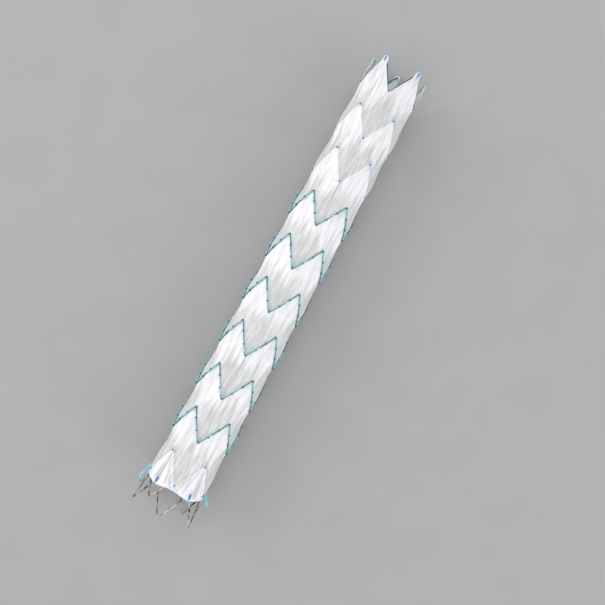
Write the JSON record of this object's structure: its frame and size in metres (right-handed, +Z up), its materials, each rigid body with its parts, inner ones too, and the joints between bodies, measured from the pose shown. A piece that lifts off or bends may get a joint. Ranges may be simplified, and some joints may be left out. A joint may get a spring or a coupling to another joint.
{
  "type": "stent graft extension",
  "caption": "Pleated woven tube with sewn zigzag wire rings, one end notched and the other with a flared bare wire crown, that lines and extends a vessel graft.",
  "frame": {"origin": "on the floor, under the middle of the tube", "axes": "+X along the tube towards the notched end, +Z up from the floor it lies on"},
  "size_m": [0.2297, 0.0294, 0.0296],
  "materials": {
    "woven_sleeve": "plain woven polyester, matt, fine pleats",
    "ring_wire": "drawn steel wire, dull",
    "crown_wire": "polished steel wire",
    "teal_thread": "braided thread",
    "blue_thread": "smooth single-filament thread",
    "gold": "polished gold"
  },
  "bodies": {
    "root": {"bare_crown": "crown_wire", "crown_barbs": "crown_wire", "crown_knots": "blue_thread", "fabric_sleeve": "woven_sleeve", "gold_markers": "gold", "notch_edge_suture": "teal_thread", "ring_knots_1": "blue_thread", "ring_knots_10": "blue_thread", "ring_knots_2": "blue_thread", "ring_knots_3": "blue_thread", "running_suture_4": "teal_thread", "running_suture_5": "teal_thread", "running_suture_6": "teal_thread", "running_suture_7": "teal_thread", "running_suture_8": "teal_thread", "running_suture_9": "teal_thread", "stent_ring_1": "ring_wire", "stent_ring_10": "ring_wire", "stent_ring_2": "ring_wire", "stent_ring_3": "ring_wire", "stent_ring_4": "ring_wire", "stent_ring_5": "ring_wire", "stent_ring_6": "ring_wire", "stent_ring_7": "ring_wire", "stent_ring_8": "ring_wire", "stent_ring_9": "ring_wire"}
  },
  "joints": []
}
